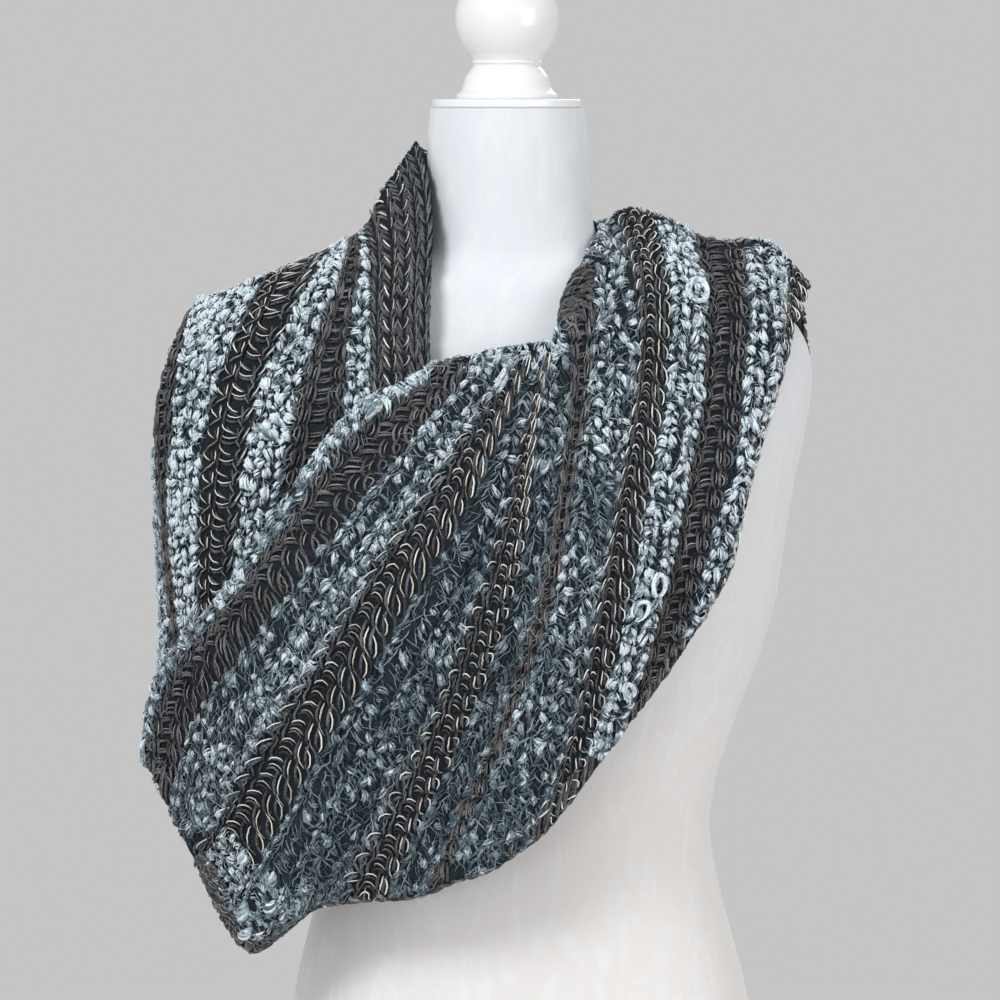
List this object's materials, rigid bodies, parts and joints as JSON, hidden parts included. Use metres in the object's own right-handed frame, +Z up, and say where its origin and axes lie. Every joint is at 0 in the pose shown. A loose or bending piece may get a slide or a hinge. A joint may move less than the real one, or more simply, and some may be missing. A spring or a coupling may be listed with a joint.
{
  "type": "infinity scarf on dress form",
  "caption": "Chunky striped knit loop scarf worn across the chest and over both shoulders of a limbless white dress form with a turned neck cap.",
  "frame": {"origin": "foot of the dress form, on its neck axis, at the surface it stands on", "axes": "+Z up along the neck axis, -Y the way the chest faces, +X towards the shoulder that the front stretch comes over"},
  "size_m": [0.4468, 0.3063, 0.8178],
  "materials": {
    "slub_knit": "chunky knit of navy, pale blue slub, ivory and brown yarns in lengthwise stripes",
    "velvet": "white crushed velvet, stretched smooth",
    "white_lacquer": "white gloss lacquer"
  },
  "bodies": {
    "root": {"scarf_front": "slub_knit", "scarf_left": "slub_knit", "scarf_back": "slub_knit", "form_torso": "velvet", "form_neck_plate": "white_lacquer", "form_finial": "white_lacquer"}
  },
  "joints": []
}
